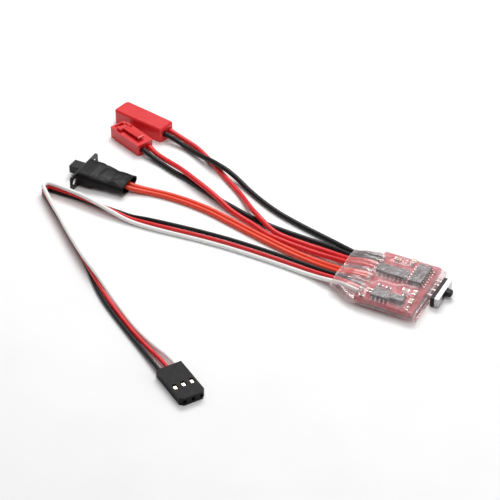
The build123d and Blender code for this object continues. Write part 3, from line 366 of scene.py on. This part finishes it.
# x, y, z from the plug or switch to the pad
BATTERY_BLACK = [
    (-96.739, 36.973, 2.49), (-92.8, 36.5, 1.9), (-88.4, 35.3, 1.2), (-84.2, 33.6, 1.25),
    (-80.2, 31.9, 1.85), (-76.2, 30.3, 2.5), (-72.4, 28.9, 2.72), (-68.6, 27.7, 2.4),
    (-64.2, 26.1, 1.4), (-59.6, 23.6, 0.86), (-53.4, 20.3, 0.83), (-46.6, 17.4, 0.83),
    (-39.4, 15.2, 0.83), (-32, 13.2, 0.9), (-26, 11.4, 1.25), (-20.6, 9.3, 2),
    (-16.6, 7.75, 2.75), (-12.2, 7.72, 3.92), (PAD_X, 7.8, 4.23)]
BATTERY_RED = [
    (-96.261, 39.427, 2.49), (-92.6, 38.9, 1.7), (-89, 38.3, 0.95), (-85.2, 36.8, 0.83),
    (-81.4, 34.6, 0.83), (-74.9, 30.3, 0.83), (-68, 25.5, 0.83), (-61.6, 21, 0.86),
    (-57.2, 17.1, 1.35), (-54.2, 14.1, 2.2), (-51.2, 11.6, 2.72), (-48.2, 9.75, 2.5),
    (-44.6, 8.3, 1.45), (-40.6, 7.6, 0.9), (-33, 7.1, 0.83), (-26.4, 6.5, 1.15),
    (-20.8, 5.3, 1.95), (-16.6, 4.32, 2.75), (-12.2, 4.1, 3.92), (PAD_X, 3.9, 4.23)]
MOTOR_BLACK = [
    (-99.068, 26.841, 1.99), (-94.4, 25.2, 1.35), (-90.4, 23.9, 0.9), (-85.6, 22.2, 0.83),
    (-79.6, 20.4, 0.83), (-73, 17.9, 0.83), (-66, 15.4, 0.83), (-60.2, 13.7, 0.83),
    (-54.4, 12, 0.83), (-49, 10.9, 0.83), (-42.6, 10.1, 0.83), (-34, 9.6, 0.85),
    (-26.6, 8.9, 1.15), (-20.8, 7.4, 1.95), (-16.6, 6.03, 2.75), (-12.2, 5.93, 3.92),
    (PAD_X, 5.9, 4.23)]
MOTOR_RED = [
    (-98.132, 29.159, 1.99), (-94.6, 27.3, 1.75), (-90.6, 25.7, 1.65), (-86, 23.75, 2.12),
    (-82, 21.95, 2.5), (-77.8, 19.9, 2.65), (-73.4, 17.8, 2.65), (-69, 15.75, 2.5),
    (-64.6, 13.7, 2), (-60.4, 11.95, 1.15), (-56, 10.4, 0.85), (-50.4, 8.55, 0.83),
    (-45.6, 6.6, 0.83), (-41, 5.75, 0.83), (-33.6, 4.95, 0.85), (-26.6, 4.3, 1.15),
    (-20.8, 3.4, 1.95), (-16.6, 2.6, 2.75), (-12.2, 2.25, 3.92), (PAD_X, 1.9, 4.23)]
SWITCH_A = [
    (-99.9, 9.9, 3.08), (-96.6, 9.55, 2.75), (-93.4, 8.9, 1.95), (-90, 9.55, 1.2),
    (-85.6, 10.46, 0.8), (-80, 10.96, 0.74), (-73, 10.76, 0.74), (-65.4, 9.71, 0.74),
    (-57.4, 7.81, 0.74), (-49.2, 5.76, 0.74), (-41, 3.86, 0.74), (-33, 2.31, 0.76),
    (-26.4, 1.11, 1.1), (-20.8, -0.12, 1.9), (-16.6, -0.97, 2.7), (-12.2, -1.31, 3.85),
    (PAD_X, -1.3, 4.13)]
SWITCH_B = [
    (-99.9, 7.4, 3.08), (-96.6, 7.25, 2.75), (-93.4, 7, 1.95), (-90, 7.95, 1.2),
    (-85.6, 8.94, 0.8), (-80, 9.44, 0.74), (-73, 9.24, 0.74), (-65.4, 8.19, 0.74),
    (-57.4, 6.29, 0.74), (-49.2, 4.24, 0.74), (-41, 2.34, 0.74), (-33, 0.79, 0.76),
    (-26.4, -0.41, 1.1), (-20.8, -1.68, 1.9), (-16.6, -2.53, 2.7), (-12.2, -2.89, 3.85),
    (PAD_X, -2.9, 4.13)]
# from the pads to the plug: x, y, z of the middle wire, roll in degrees, spacing of the wires
RIBBON = [
    (PAD_X, -7.9, 4, 0, 1.5), (-12.2, -7, 3.75, 4, 1.38), (-16.6, -5.7, 2.75, 12, 1.3),
    (-21.6, -5, 2.05, 24, 1.3), (-27, -4.4, 1.6, 32, 1.3), (-35, -3.9, 1.45, 36, 1.3),
    (-44, -3.6, 1.45, 36, 1.3), (-53, -3.6, 1.45, 36, 1.3), (-62, -4.1, 1.45, 36, 1.3),
    (-71, -4.9, 1.45, 34, 1.3), (-79, -5.4, 1.25, 20, 1.3), (-85, -5.4, 0.95, -5, 1.3),
    (-90.5, -5, 1.3, -26, 1.3), (-96, -4.5, 1.66, -48, 1.3), (-101.5, -4, 1.88, -66, 1.3),
    (-107, -3.7, 1.96, -80, 1.3), (-111.5, -3.58, 1.98, -88, 1.3),
    (-114.222, -3.605, 1.98, -90, 1.3), (-114.903, -3.853, 1.98, -90, 1.3),
    (-115.369, -4.408, 1.98, -90, 1.3), (-115.5, -5, 1.98, -90, 1.3),
    (-115.369, -5.592, 1.98, -90, 1.3), (-115.073, -6.007, 1.98, -90, 1.3),
    (-111.4, -9.1, 1.98, -98, 1.3), (-107.4, -12.4, 1.95, -104, 1.3),
    (-102.9, -16, 1.92, -108, 1.3), (-97.2, -20.9, 1.9, -110, 1.3),
    (-90.9, -26.2, 1.92, -106, 1.3), (-84.7, -31.4, 1.96, -92, 1.3),
    (-78.3, -36.6, 1.78, -58, 1.3), (-71.7, -41.6, 1.2, -24, 1.3), (-64.9, -46.3, 0.8, -6, 1.35),
    (-58.1, -50.7, 0.7, 0, 1.45), (-51, -54.9, 0.85, 0, 1.85), (-45.6, -57.9, 1.15, 0, 2.35),
    (-41.3, -60.6, 1.31, 0, 2.54)]

# ---------------------------------------------------------------------------
# wires
# ---------------------------------------------------------------------------
WIRE_SIDES = 14
WIRE_STEP = 0.55        # spacing of the rings
STILL_RINGS = 8         # rings at each end that do not sway
SWAY_FADE = 14.0        # rings over which the sway grows
CORE_STEPS = 8


def sway_sideways(pts, sway, seed):
    """Push the points sideways by a slow noise that dies away at both ends."""
    count = len(pts)
    for i in range(STILL_RINGS, count - STILL_RINGS):
        fade = min(1.0, (i - STILL_RINGS) / SWAY_FADE, (count - STILL_RINGS - i) / SWAY_FADE)
        side = wave(i * WIRE_STEP * 0.045, seed, 0.3) * sway * fade
        along = (pts[min(i + 1, count - 1)] - pts[i - 1]).normalized()
        pts[i] = pts[i] + Vector((-along.y, along.x, 0)) * side


def insulation_rings(pts, radius, seed):
    """Slightly uneven rings square to the path, without twist."""
    count, verts = len(pts), []
    across = None
    for i in range(count):
        along = (pts[min(i + 1, count - 1)] - pts[max(i - 1, 0)]).normalized()
        if across is None:
            across = Vector((0, 0, 1)).cross(along).normalized()
        across = (across - along * across.dot(along)).normalized()
        other = along.cross(across)
        for k in range(WIRE_SIDES):
            a = 2 * math.pi * k / WIRE_SIDES
            r = radius * (1 + 0.012 * wave(i * 0.21, a * 1.3, seed))
            verts.append((pts[i] + (across * math.cos(a) + other * math.sin(a)) * r) * MM)
    return verts


def core_rings(start, radius):
    """Stranded core running along +X, narrower at its last ring."""
    verts = []
    for j in range(CORE_STEPS + 1):
        centre = start + Vector((1, 0, 0)) * (BARE_LENGTH * j / CORE_STEPS)
        ring_radius = radius * (1.0 if j < CORE_STEPS else 0.75)
        for k in range(WIRE_SIDES):
            a = 2 * math.pi * k / WIRE_SIDES
            strands = 1 + 0.06 * math.cos(6 * a + j * 0.9)
            verts.append((centre + Vector((0, math.cos(a), math.sin(a)))
                          * ring_radius * strands) * MM)
    return verts


def wire(name, path, radius, core_radius, slot, seed, sway=0.15):
    """Round insulated wire along a path, with its core bared at the path's end."""
    pts = resample(path, WIRE_STEP)
    sway_sideways(pts, sway, seed)
    verts = insulation_rings(pts, radius, seed)
    caps = len(verts)
    verts += [pts[0] * MM, pts[-1] * MM]
    jacket = band(0, len(pts), WIRE_SIDES)
    jacket += fan(caps, 0, WIRE_SIDES, flip=True)
    jacket += fan(caps + 1, caps - WIRE_SIDES, WIRE_SIDES)
    start = len(verts)
    verts += core_rings(pts[-1], core_radius)
    tip = len(verts)
    verts.append((pts[-1] + Vector((1, 0, 0)) * BARE_LENGTH) * MM)
    core = band(start, CORE_STEPS + 1, WIRE_SIDES) + fan(tip, tip - WIRE_SIDES, WIRE_SIDES)
    return mesh_object(name, verts, jacket + core, [MATERIALS[slot], MATERIALS["copper_core"]],
                       [0] * len(jacket) + [1] * len(core))


def lead(name, route, leaves, radius, core_radius, hidden, slot, seed, inside):
    """Wire running between its end body and the controller.

    leaves is its direction at the plug or switch, inside how far it reaches back into the plug.
    """
    start = Vector(route[0])
    dense = catmull([start, start + leaves * 0.8] + route[1:])
    path = ([start - leaves * inside] if inside else []) + dense
    made = wire(name, path, radius, core_radius, slot, seed)
    step, reach = 0.25, 15      # reach and the resampled points below are not used
    even = resample(dense, step)
    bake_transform(made)
    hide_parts(*hidden)


for circuit, leaves, colour, route, seed in (
        ("battery", BATTERY_OUT, "black", BATTERY_BLACK, 3.1),
        ("battery", BATTERY_OUT, "red", BATTERY_RED, 7.7),
        ("motor", MOTOR_OUT, "black", MOTOR_BLACK, 11.9),
        ("motor", MOTOR_OUT, "red", MOTOR_RED, 15.3)):
    hidden = [f"{circuit}_wire_{colour}", f"{circuit}_wire_{colour}_end"]
    if colour == "black":
        hidden += [f"{circuit}_wire_cores", f"{circuit}_wire_core_ends"]
    lead(f"{circuit}_wire_{colour}_visual", route, leaves, POWER_RADIUS, POWER_CORE,
         hidden=hidden, slot=f"{colour}_insulation", seed=seed,
         inside=2.0)

for letter, route, cores in (("a", SWITCH_A, "switch_wire_cores"),
                             ("b", SWITCH_B, "switch_wire_core_ends")):
    lead(f"switch_wire_{letter}_visual", route, heading(0), SWITCH_RADIUS, SWITCH_CORE,
         hidden=["switch_wires", "switch_wire_ends", cores],
         slot="orange_red_insulation", seed=19.4, inside=0)

# flat three-wire ribbon
SERVO_INSIDE = 1.8                          # how far the wires reach into the plug
ribbon_curve = catmull(RIBBON)


def ribbon_point(k, side):
    """Point k of a ribbon wire; side 1 is to the right on the way from the pads, -1 the left."""
    a, b = ribbon_curve[max(k - 1, 0)], ribbon_curve[min(k + 1, len(ribbon_curve) - 1)]
    right = Vector((b[1] - a[1], a[0] - b[0], 0)).normalized()
    x, y, z, roll, spacing = ribbon_curve[k]
    roll = math.radians(roll)
    across = right * math.cos(roll) + Vector((0, 0, math.sin(roll)))
    return Vector((x, y, z)) + across * (side * spacing)


def servo_wire(colour, side):
    path = [ribbon_point(k, side) for k in range(len(ribbon_curve))]
    path[0] = Vector((PAD_X, SERVO_PADS[colour], SERVO_Z))
    path.append(path[-1] + SERVO_OUT * SERVO_INSIDE)
    path.reverse()
    slot = f"{colour}_insulation"
    made = wire(f"servo_wire_{colour}_visual", path, SERVO_RADIUS, SERVO_CORE, slot, seed=23.0,
                sway=0.09)
    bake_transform(made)
    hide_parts(f"servo_wire_{colour}", f"servo_wire_{colour}_end", "servo_wire_cores",
                "servo_wire_core_ends")


for colour, side in (("black", 1), ("red", 0), ("white", -1)):
    servo_wire(colour, side)

# ---------------------------------------------------------------------------
# solder: lumpy domes over the bared cores
# ---------------------------------------------------------------------------
SOLDER_X = PAD_X + 0.7
SOLDER_COVER = 0.18     # solder above the core
DOME_RINGS, DOME_SIDES = 9, 22


def dome(y, half_x, half_y, height, seed):
    """Vertices of a dome standing on the board, flared at its foot."""
    verts = []
    for j in range(DOME_RINGS + 1):
        t = j / DOME_RINGS
        rise = t * math.pi / 2
        flare = 1.0 + 0.28 * (1 - t) ** 4
        for k in range(DOME_SIDES):
            turn = 2 * math.pi * k / DOME_SIDES
            lump = 1 + 0.10 * wave(math.cos(turn) * 1.3 + seed, math.sin(turn) * 1.3, t * 2.2)
            out = math.cos(rise) * flare * lump
            verts.append(Vector((SOLDER_X + half_x * math.cos(turn) * out,
                                 y + half_y * math.sin(turn) * out,
                                 BOARD_TOP + height * math.sin(rise) * lump)) * MM)
    return verts


def solder_joints():
    # y and z of the wire, core radius, pad width
    joints = [(*route[-1][1:], POWER_CORE, 1.5)
              for route in (BATTERY_BLACK, MOTOR_BLACK, BATTERY_RED, MOTOR_RED)]
    joints += [(*route[-1][1:], SWITCH_CORE, 1.25) for route in (SWITCH_A, SWITCH_B)]
    joints += [(y, SERVO_Z, SERVO_CORE, 1.05) for y in SERVO_PADS.values()]
    verts, faces = [], []
    for i, (y, z, core_radius, width) in enumerate(joints):
        faces += band(len(verts), DOME_RINGS + 1, DOME_SIDES)
        verts += dome(y, half_x=0.56, half_y=width / 2 * 0.78,
                      height=z + core_radius + SOLDER_COVER - BOARD_TOP, seed=i * 3.7)
    made = mesh_object("solder_joints_visual", verts, faces, [MATERIALS["solder"]])
    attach(made, "controller")
    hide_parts("solder_joints")


solder_joints()

# ---------------------------------------------------------------------------
# clear film: a flattened tube relaxed over everything it covers
# ---------------------------------------------------------------------------
FILM_START, FILM_END = -17.2, 10.05     # x of the open end round the leads and of the far end
FILM_TAPER = 7.8                        # length over which the lead end changes shape
FILM_RINGS, TOP_POINTS, UNDER_POINTS = 128, 120, 56
RING_POINTS = TOP_POINTS + UNDER_POINTS
FILM_GAP = 0.13                         # film above the parts it touches
LOWEST_TOP = 3.6                        # lowest start height of the upper sheet
RELAX_STEPS, RELAX_DROP = 900, 0.004
PROBE = 0.22                            # spread of the height probes
film_rings = [FILM_START + (FILM_END - FILM_START) * i / (FILM_RINGS - 1)
              for i in range(FILM_RINGS)]


def lead_end(x):
    """1 at the open lead end, 0 past the taper."""
    return clamp((FILM_START + FILM_TAPER - x) / FILM_TAPER)


def half_width(x):
    s = smooth(clamp((x - FILM_START) / FILM_TAPER))
    end = max(0.0, (x - 8.9) / 1.35)    # grows over the last stretch at the far end
    return 9.05 + 3.0 * s + 0.10 * wave(x * 0.35, 4.0, 0) * s - 0.35 * end + 0.25 * end ** 1.5


def under_height(x):
    return 0.07 + 0.98 * smooth(lead_end(x))


def seam_height(x):
    return 2.35 + 0.25 * lead_end(x)


def top_columns(x):
    half = half_width(x)
    return [half * (-1 + 2 * j / (TOP_POINTS - 1)) for j in range(TOP_POINTS)]


def covered_parts():
    """Search tree, in millimetres, of the pieces that reach beyond x = -20 mm."""
    verts, faces = [], []
    for name, piece in nodes.items():
        if name == "heat_shrink_tube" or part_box(name)[1].x <= -0.020:
            continue
        base = len(verts)
        verts += [v.co / MM for v in piece.data.vertices]
        faces += [tuple(base + i for i in p.vertices) for p in piece.data.polygons]
    return BVHTree.FromPolygons(verts, faces)


def relaxed_sheet():
    """Heights of the upper sheet, sagging until it rests on the parts."""
    parts = covered_parts()
    probes = ((0, 0), (PROBE, 0), (-PROBE, 0), (0, PROBE), (0, -PROBE))
    floor_heights = np.zeros((FILM_RINGS, TOP_POINTS))
    for i, x in enumerate(film_rings):
        for j, y in enumerate(top_columns(x)):
            top = 0.0
            for dx, dy in probes:
                hit = parts.ray_cast(Vector((x + dx, y + dy, 30)), Vector((0, 0, -1)))[0]
                if hit is not None and hit.x < 11:
                    top = max(top, hit.z)
            floor_heights[i, j] = top + FILM_GAP if top > 0 else 0.2
    sheet = np.maximum(floor_heights, LOWEST_TOP)
    seam = np.array([seam_height(x) for x in film_rings])
    for _ in range(RELAX_STEPS):
        padded = np.pad(sheet, 1, mode="edge")
        average = (padded[:-2, 1:-1] + padded[2:, 1:-1] + padded[1:-1, :-2] + padded[1:-1, 2:]) / 4
        sheet = np.maximum(floor_heights, average - RELAX_DROP)
        sheet[:, 0] = seam
        sheet[:, -1] = seam
    return sheet


def film_top(i, x, heights):
    """Upper half of ring i: creased at the lead end, rippled, sagging at the far end."""
    half, seam = half_width(x), seam_height(x)
    mouth, tail = clamp((-8.6 - x) / 6.0), clamp((x - 7.6) / 2.6)
    jitter = 0.12 * (1 if i in (0, FILM_RINGS - 1) else 0.6)
    ring = []
    for y, z in zip(top_columns(x), heights):
        t = clamp((abs(y) - (half - 0.7)) / 0.7)    # rises to 1 at the seam
        crease = 0.16 * mouth * math.sin(y * 2.3 + 2.2 * wave(x * 0.22, y * 0.15, 1.0)) * (1 - t)
        ripple = 0.10 * wave(x * 0.75, y * 0.32, 2.0) + 0.05 * wave(x * 1.9, y * 1.1, 5.0)
        sag = -0.25 * tail * math.cos(y * 0.13)
        z = z + (abs(crease) + 0.9 * abs(ripple) + sag) * (1 - t)
        z = seam + (z - seam) * math.sqrt(max(0.0, 1 - t * t))
        ring.append(Vector((x + jitter * wave(y * 0.45, x * 0.1, 12.0),
                            y * (1 + 0.012 * wave(x * 1.1, y * 0.5, 9.0)), z)) * MM)
    return ring


def film_under(x):
    """Lower half of a ring, nearly flat and curling up to the seams."""
    half, seam, under = half_width(x), seam_height(x), under_height(x)
    ring = []
    for j in range(UNDER_POINTS):
        y = half * math.cos(math.pi * (j + 1) / (UNDER_POINTS + 1))
        t = clamp((abs(y) - (half - 2.6)) / 2.6)
        z = under + (seam - under) * (1 - math.sqrt(max(0.0, 1 - t * t)))
        z += 0.03 * (1 - t) * (1 + wave(x * 0.6, y * 0.4, 7.0))
        ring.append(Vector((x, y, z)) * MM)
    return ring


def film_rim(name, loop, material, radius=0.09, sides=6):
    """The cut edge of the film: a fine closed bead."""
    verts, count = [], len(loop)
    for i in range(count):
        along = (loop[(i + 1) % count] - loop[i - 1]).normalized()
        across = Vector((1, 0, 0))
        across = (across - along * across.dot(along)).normalized()
        other = along.cross(across)
        for k in range(sides):
            a = 2 * math.pi * k / sides
            verts.append(loop[i] + (across * math.cos(a) + other * math.sin(a)) * (radius * MM))
    made = mesh_object(name, verts, band(0, count, sides, closed=True), [material])
    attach(made, "controller")


def film():
    verts = []
    for i, (x, heights) in enumerate(zip(film_rings, relaxed_sheet())):
        verts += film_top(i, x, heights) + film_under(x)
    made = mesh_object("heat_shrink_film", verts, band(0, FILM_RINGS, RING_POINTS, flip=True),
                       [MATERIALS["clear_film"]])
    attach(made, "controller")
    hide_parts("heat_shrink_tube")
    rim = film_material("clear_film_rim", tint=(0.93, 0.80, 0.80), haze=0.22, lift=0.12)
    film_rim("heat_shrink_rim_leads", verts[:RING_POINTS], rim)
    film_rim("heat_shrink_rim_end", verts[-RING_POINTS:], rim)


film()

# ---------------------------------------------------------------------------
# black sleeve over the power switch: a shrunk-on tube, open at both ends
# ---------------------------------------------------------------------------
# x, half width, half height, centre y, centre z, squareness (2 is an ellipse)
SLEEVE_SECTIONS = [
    (-108.35, 4.80, 2.50, 7.4, 2.5, 5.0), (-104.4, 4.80, 2.50, 7.4, 2.5, 5.0),
    (-102.6, 4.70, 2.25, 7.6, 2.45, 3.6), (-98.0, 4.35, 1.95, 7.75, 2.3, 2.8),
    (-94.5, 4.40, 1.85, 7.9, 2.2, 2.4), (-92.9, 4.50, 1.95, 7.95, 2.2, 2.3)]
SLEEVE_WALL = 0.28
SLEEVE_RINGS, SLEEVE_SIDES = 56, 64


def sleeve_section(x):
    for a, b in zip(SLEEVE_SECTIONS, SLEEVE_SECTIONS[1:]):
        if x <= b[0]:
            t = smooth((x - a[0]) / (b[0] - a[0]))
            return [p + (q - p) * t for p, q in zip(a[1:], b[1:])]
    return SLEEVE_SECTIONS[-1][1:]


def sleeve_ring(x, wall):
    """One ring, lumpier where the sleeve is shrunk onto the wires."""
    half_y, half_z, centre_y, centre_z, square = sleeve_section(x)
    soft = clamp((x + 104.6) / 2.5)
    ring = []
    for k in range(SLEEVE_SIDES):
        a = 2 * math.pi * k / SLEEVE_SIDES
        c, s = math.cos(a), math.sin(a)
        y = math.copysign(abs(c) ** (2 / square), c)
        z = math.copysign(abs(s) ** (2 / square), s)
        lump = (0.26 * soft * wave(x * 0.33, c * 1.7, s * 1.7 + 3)
                + 0.06 * wave(x * 1.1, c * 4.0, s * 4.0 + 8) * (0.4 + soft))
        ring.append(Vector((x, centre_y + y * (half_y + lump * 0.5 - wall),
                            centre_z + z * (half_z + lump - wall - 0.12 * soft))) * MM)
    return ring


def switch_sleeve():
    first, last = SLEEVE_SECTIONS[0][0], SLEEVE_SECTIONS[-1][0]
    verts = []
    for wall in (0.0, SLEEVE_WALL):
        for i in range(SLEEVE_RINGS):
            verts += sleeve_ring(first + (last - first) * i / (SLEEVE_RINGS - 1), wall)
    inner = SLEEVE_RINGS * SLEEVE_SIDES
    skins = zip(band(0, SLEEVE_RINGS, SLEEVE_SIDES),
                band(inner, SLEEVE_RINGS, SLEEVE_SIDES, flip=True))
    faces = [face for pair in skins for face in pair]
    for start in (0, inner - SLEEVE_SIDES):     # lips joining the two skins
        for k in range(SLEEVE_SIDES):
            a, b = start + k, start + (k + 1) % SLEEVE_SIDES
            lip = (a, inner + a, inner + b, b)
            faces.append(lip if start else lip[::-1])
    made = mesh_object("switch_sleeve_visual", verts, faces, [MATERIALS["black_sleeve"]])
    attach(made, "switch_lead_end")
    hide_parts("switch_sleeve")


switch_sleeve()

# ---------------------------------------------------------------------------
# floor, light, camera: metres from here on
# ---------------------------------------------------------------------------
TARGET = Vector((-46.48, -1.86, 0)) * MM    # the lights and camera aim here
FLOOR_HALF = 3.0


def floor_material():
    material, tree, where = new_material("floor_paper")
    colour = ramp(tree, mottle(tree, where, 40.0, 6.0),
                  (0.3, (0.90, 0.90, 0.90)), (0.7, (0.93, 0.93, 0.93)))
    finish(tree, node(tree, "ShaderNodeBsdfPrincipled", Base_Color=colour, Roughness=0.85,
                      Specular_IOR_Level=0.15))
    return material


def softbox(name, at, size, watts):
    """Rectangular light at an offset from the target, turned to face it."""
    light = bpy.data.lights.new(name, "AREA")
    light.shape = "RECTANGLE"
    light.size, light.size_y = size
    light.energy = watts
    made = bpy.data.objects.new(name, light)
    scene.collection.objects.link(made)
    made.location = TARGET + Vector(at)
    made.rotation_euler = (TARGET - made.location).to_track_quat("-Z", "Y").to_euler()


def add_camera(azimuth, elevation, distance):
    """Camera on the -Y side; the azimuth swings it towards +X."""
    back = Vector((math.sin(azimuth) * math.cos(elevation),
                   -math.cos(azimuth) * math.cos(elevation), math.sin(elevation)))
    right = Vector((math.cos(azimuth), math.sin(azimuth), 0))
    turn = Matrix((right, back.cross(right), back)).transposed().to_4x4()
    camera = bpy.data.cameras.new("camera")
    camera.sensor_width, camera.lens = 36.0, 136.8      # millimetres
    camera.clip_start, camera.clip_end = 0.01, 20
    made = bpy.data.objects.new("camera", camera)
    scene.collection.objects.link(made)
    made.matrix_world = Matrix.Translation(TARGET + back * distance) @ turn
    scene.camera = made


mesh_object("floor", [(x * FLOOR_HALF, y * FLOOR_HALF, 0) for y in (-1, 1)
                               for x in (-1, 1)],
                     [(0, 1, 3, 2)], [floor_material()], smooth_faces=False)

world = bpy.data.worlds.new("studio")
scene.world = world
world.use_nodes = True
background = world.node_tree.nodes["Background"]
background.inputs["Color"].default_value = (1, 1, 1, 1)
background.inputs["Strength"].default_value = 0.23

softbox("key_box", at=(-0.10, 0.28, 0.42), size=(0.34, 0.22), watts=2.0)
softbox("top_box", at=(0.10, -0.05, 0.60), size=(0.45, 0.45), watts=1.4)
softbox("side_box", at=(0.42, 0.05, 0.22), size=(0.20, 0.25), watts=0.3)

add_camera(azimuth=math.radians(27.0), elevation=math.radians(37.5), distance=0.560)
scene.view_settings.view_transform = "Standard"
scene.view_settings.look = "None"
scene.view_settings.exposure = 0.0
scene.cycles.transparent_max_bounces = 24
